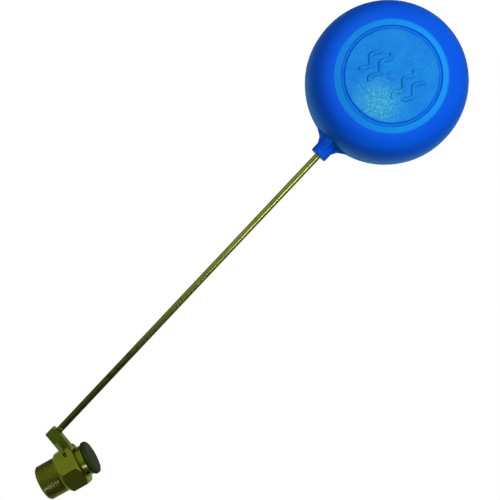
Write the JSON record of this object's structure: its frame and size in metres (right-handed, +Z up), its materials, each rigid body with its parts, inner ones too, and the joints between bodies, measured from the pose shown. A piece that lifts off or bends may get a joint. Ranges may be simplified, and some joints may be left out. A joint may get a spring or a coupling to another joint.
{
  "type": "float valve",
  "caption": "Brass float valve with a threaded inlet, a slotted piston moved by a lever on a split pin, a long rod and a hollow blue plastic float.",
  "frame": {"origin": "centre of the inlet, in the plane where the inlet thread meets the hexagon", "axes": "+X along the valve from the inlet to the screw cap, +Y towards the face of the float that carries the wave mark, +Z up with the valve mounted in its tank"},
  "size_m": [0.4203, 0.071, 0.2066],
  "materials": {
    "body_brass": "turned and lightly tarnished",
    "lever_brass": "cast, dull",
    "rod_brass": "drawn, satin",
    "inner_brass": "turned, bright",
    "pin_brass": "drawn wire",
    "cap_plastic": "black moulded, slightly glossy",
    "fibre": "red fibre",
    "seat_rubber": "matt black",
    "float_plastic": "blue moulded polyethylene, satin"
  },
  "bodies": {
    "valve": {"valve_body": "body_brass", "seat_nozzle": "inner_brass", "nozzle_washer": "fibre", "end_cap": "cap_plastic", "cap_washer": "fibre", "pivot_pin": "pin_brass"},
    "float_arm": {"lever": "lever_brass", "float_rod": "rod_brass", "float_insert": "inner_brass", "float_front_shell": "float_plastic", "float_rear_shell": "float_plastic"},
    "piston_unit": {"piston": "inner_brass", "seat_washer": "seat_rubber", "washer_retainer": "inner_brass"}
  },
  "joints": [
    {"name": "lever_pivot", "type": "hinge", "parent": "valve", "child": "float_arm", "pos_m": [0.0106, 0, -0.012], "axis": [0, -1, 0], "range_deg": [0, 21]},
    {"name": "piston_slide", "type": "slide", "parent": "valve", "child": "piston_unit", "axis": [-1, 0, 0], "range_m": [0, 0.00438]}
  ],
  "couplings": [
    {"joint": "piston_slide", "follows": "lever_pivot", "m_per_rad": 0.011933}
  ]
}
